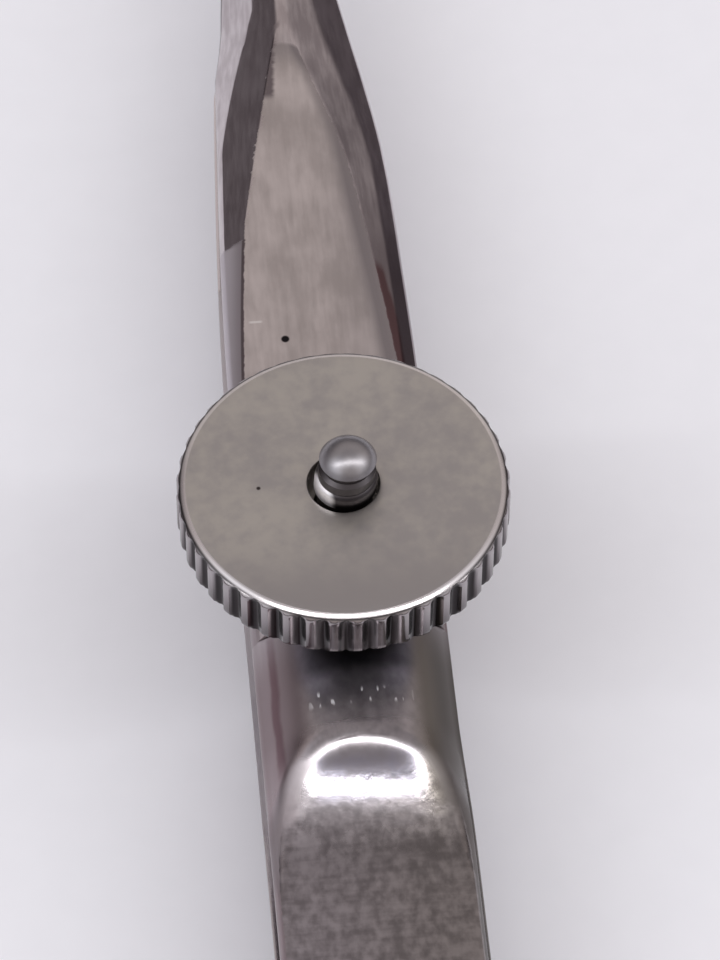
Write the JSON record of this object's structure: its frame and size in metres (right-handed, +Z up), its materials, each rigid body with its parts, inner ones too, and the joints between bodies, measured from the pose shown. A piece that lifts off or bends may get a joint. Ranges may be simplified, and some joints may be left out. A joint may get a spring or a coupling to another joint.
{
  "type": "ruling pen",
  "caption": "Stainless steel ruling pen: two half-round blades set apart by a knurled nut on a fixed stud, a turned ferrule and a six-sided handle.",
  "frame": {"origin": "middle of the pen's length and width, on the surface that it lies on", "axes": "+Y along the pen towards the nib, +Z up through the nut, +X to the right"},
  "size_m": [0.0082, 0.1342, 0.0097],
  "materials": {
    "blade_steel": "satin facets on a polished bar",
    "nut_steel": "satin face, bright knurl",
    "bright_steel": "polished",
    "handle_steel": "satin flats"
  },
  "bodies": {
    "pen": {"lower_blade": "blade_steel", "heel_spacer": "blade_steel", "heel_pins": "bright_steel", "ferrule": "bright_steel", "handle": "handle_steel", "adjusting_stud": "bright_steel"},
    "sprung_blade": {"upper_blade": "blade_steel"},
    "washer": {"nut_washer": "bright_steel"},
    "nut": {"thumb_nut": "nut_steel"}
  },
  "joints": [
    {"name": "nut_lift", "type": "slide", "parent": "pen", "child": "washer", "axis": [0, 0, 1], "range_m": [-0.000112, 0.0007]},
    {"name": "nut_turn", "type": "hinge", "parent": "washer", "child": "nut", "pos_m": [0, 0.03494, 0.00325], "axis": [0, 0, 1], "range_deg": [-116, 721]},
    {"name": "blade_flex", "type": "hinge", "parent": "pen", "child": "sprung_blade", "pos_m": [0, 0.01024, 0.00475], "axis": [1, 0, 0], "range_deg": [-0.26, 1.63]}
  ],
  "couplings": [
    {"joint": "nut_turn", "follows": "nut_lift", "rad_per_m": 17952},
    {"joint": "blade_flex", "follows": "nut_lift", "rad_per_m": 40.486}
  ]
}
